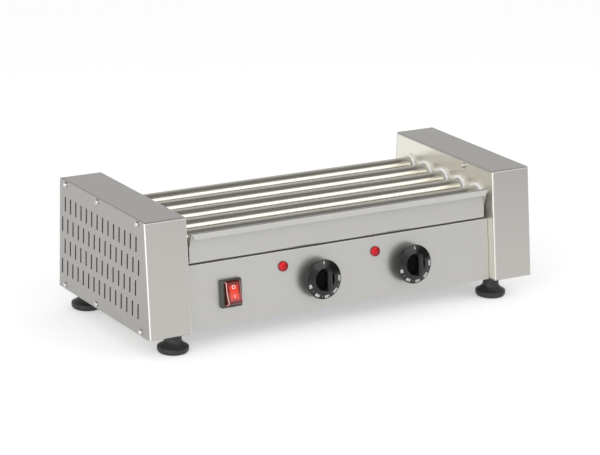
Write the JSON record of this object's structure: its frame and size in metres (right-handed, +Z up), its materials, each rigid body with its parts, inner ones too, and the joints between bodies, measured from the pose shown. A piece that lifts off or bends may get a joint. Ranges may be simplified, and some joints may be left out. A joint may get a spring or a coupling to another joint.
{
  "type": "sausage grill",
  "caption": "Tabletop roller grill: heated steel rollers between slotted end housings, over a pull-out drip tray and a leaning control panel with rocker switch, lamps and dials.",
  "frame": {"origin": "middle of the footprint, on the surface that the feet stand on", "axes": "+X along the rollers, from the switch's end to the other; -Y towards the user and the controls; +Z up"},
  "size_m": [0.522, 0.2386, 0.156],
  "materials": {
    "stainless": "brushed stainless sheet",
    "cover_steel": "satin stainless sheet",
    "roller_steel": "polished stainless tube",
    "screw_steel": "bright nickel-plated steel",
    "zinc": "zinc-plated steel sheet",
    "bush_white": "white low-friction plastic",
    "drive_steel": "oiled dark steel",
    "motor_paint": "grey paint",
    "heater_sheath": "heat-tinted steel sheath",
    "black_plastic": "satin black moulding",
    "dark_plastic": "dark grey moulding",
    "red_lens": "clear red moulding",
    "foot_rubber": "black rubber"
  },
  "bodies": {
    "cabinet": {"left_housing_shell": "stainless", "left_side_panel": "cover_steel", "left_inner_wall": "stainless", "heater_bar_left": "zinc", "pilot_lamp_left": "red_lens", "thermostat_left": "zinc", "right_housing_shell": "stainless", "right_side_panel": "cover_steel", "right_inner_wall": "stainless", "heater_bar_right": "zinc", "pilot_lamp_right": "red_lens", "thermostat_right": "zinc", "chassis_pan": "zinc", "front_panel": "stainless", "cable_gland": "black_plastic", "switch_housing": "dark_plastic", "heater_1": "heater_sheath", "roller_bush_left_1": "bush_white", "roller_bush_right_1": "bush_white", "heater_2": "heater_sheath", "roller_bush_left_2": "bush_white", "roller_bush_right_2": "bush_white", "heater_3": "heater_sheath", "roller_bush_left_3": "bush_white", "roller_bush_right_3": "bush_white", "heater_4": "heater_sheath", "roller_bush_left_4": "bush_white", "roller_bush_right_4": "bush_white", "heater_5": "heater_sheath", "roller_bush_left_5": "bush_white", "roller_bush_right_5": "bush_white", "gear_motor": "motor_paint", "drive_chain": "drive_steel", "cover_screw_top_back": "screw_steel", "cover_screw_top_middle": "screw_steel", "cover_screw_top_front": "screw_steel", "cover_screw_bottom_back": "screw_steel", "cover_screw_bottom_middle": "screw_steel", "cover_screw_bottom_front": "screw_steel"},
    "roller_set_1": {"roller_1": "roller_steel", "roller_sprocket_1": "drive_steel"},
    "roller_set_2": {"roller_2": "roller_steel", "roller_sprocket_2": "drive_steel"},
    "roller_set_3": {"roller_3": "roller_steel", "roller_sprocket_3": "drive_steel"},
    "roller_set_4": {"roller_4": "roller_steel", "roller_sprocket_4": "drive_steel"},
    "roller_set_5": {"roller_5": "roller_steel", "roller_sprocket_5": "drive_steel"},
    "drive_wheel": {"motor_sprocket": "drive_steel"},
    "tray": {"drip_tray": "stainless"},
    "rocker": {"switch_rocker": "red_lens"},
    "knob_set_left": {"knob_left": "black_plastic", "thermostat_shaft_left": "zinc"},
    "knob_set_right": {"knob_right": "black_plastic", "thermostat_shaft_right": "zinc"},
    "levelling_foot_front_left": {"foot_front_left": "foot_rubber"},
    "levelling_foot_front_right": {"foot_front_right": "foot_rubber"},
    "levelling_foot_back_left": {"foot_back_left": "foot_rubber"},
    "levelling_foot_back_right": {"foot_back_right": "foot_rubber"}
  },
  "joints": [
    {"name": "roller_1_spin", "type": "hinge", "parent": "cabinet", "child": "roller_set_1", "pos_m": [0.001, -0.06173, 0.1215], "axis": [1, 0, 0], "continuous": true},
    {"name": "roller_2_spin", "type": "hinge", "parent": "cabinet", "child": "roller_set_2", "pos_m": [0.001, -0.02623, 0.1215], "axis": [1, 0, 0], "continuous": true},
    {"name": "roller_3_spin", "type": "hinge", "parent": "cabinet", "child": "roller_set_3", "pos_m": [0.001, 0.00927, 0.1215], "axis": [1, 0, 0], "continuous": true},
    {"name": "roller_4_spin", "type": "hinge", "parent": "cabinet", "child": "roller_set_4", "pos_m": [0.001, 0.04477, 0.1215], "axis": [1, 0, 0], "continuous": true},
    {"name": "roller_5_spin", "type": "hinge", "parent": "cabinet", "child": "roller_set_5", "pos_m": [0.001, 0.08027, 0.1215], "axis": [1, 0, 0], "continuous": true},
    {"name": "motor_sprocket_spin", "type": "hinge", "parent": "cabinet", "child": "drive_wheel", "pos_m": [-0.2155, 0.00927, 0.065], "axis": [1, 0, 0], "continuous": true},
    {"name": "tray_slide", "type": "slide", "parent": "cabinet", "child": "tray", "axis": [0, -1, 0], "range_m": [0, 0.18]},
    {"name": "rocker_tilt", "type": "hinge", "parent": "cabinet", "child": "rocker", "pos_m": [-0.15005, -0.09418, 0.06114], "axis": [1, 0, 0], "range_deg": [0, 24]},
    {"name": "knob_left_turn", "type": "hinge", "parent": "cabinet", "child": "knob_set_left", "pos_m": [-0.0315, -0.09076, 0.06037], "axis": [0, 0.9907, -0.1361], "range_deg": [0, 270]},
    {"name": "knob_right_turn", "type": "hinge", "parent": "cabinet", "child": "knob_set_right", "pos_m": [0.0935, -0.09076, 0.06037], "axis": [0, 0.9907, -0.1361], "range_deg": [0, 270]},
    {"name": "foot_front_left_travel", "type": "slide", "parent": "cabinet", "child": "levelling_foot_front_left", "axis": [0, 0, -1], "range_m": [0, 0.008]},
    {"name": "foot_front_right_travel", "type": "slide", "parent": "cabinet", "child": "levelling_foot_front_right", "axis": [0, 0, -1], "range_m": [0, 0.008]},
    {"name": "foot_back_left_travel", "type": "slide", "parent": "cabinet", "child": "levelling_foot_back_left", "axis": [0, 0, -1], "range_m": [0, 0.008]},
    {"name": "foot_back_right_travel", "type": "slide", "parent": "cabinet", "child": "levelling_foot_back_right", "axis": [0, 0, -1], "range_m": [0, 0.008]}
  ],
  "couplings": [
    {"joint": "roller_2_spin", "follows": "roller_1_spin", "ratio": 1},
    {"joint": "roller_3_spin", "follows": "roller_1_spin", "ratio": 1},
    {"joint": "roller_4_spin", "follows": "roller_1_spin", "ratio": 1},
    {"joint": "roller_5_spin", "follows": "roller_1_spin", "ratio": 1},
    {"joint": "motor_sprocket_spin", "follows": "roller_1_spin", "ratio": 1}
  ]
}
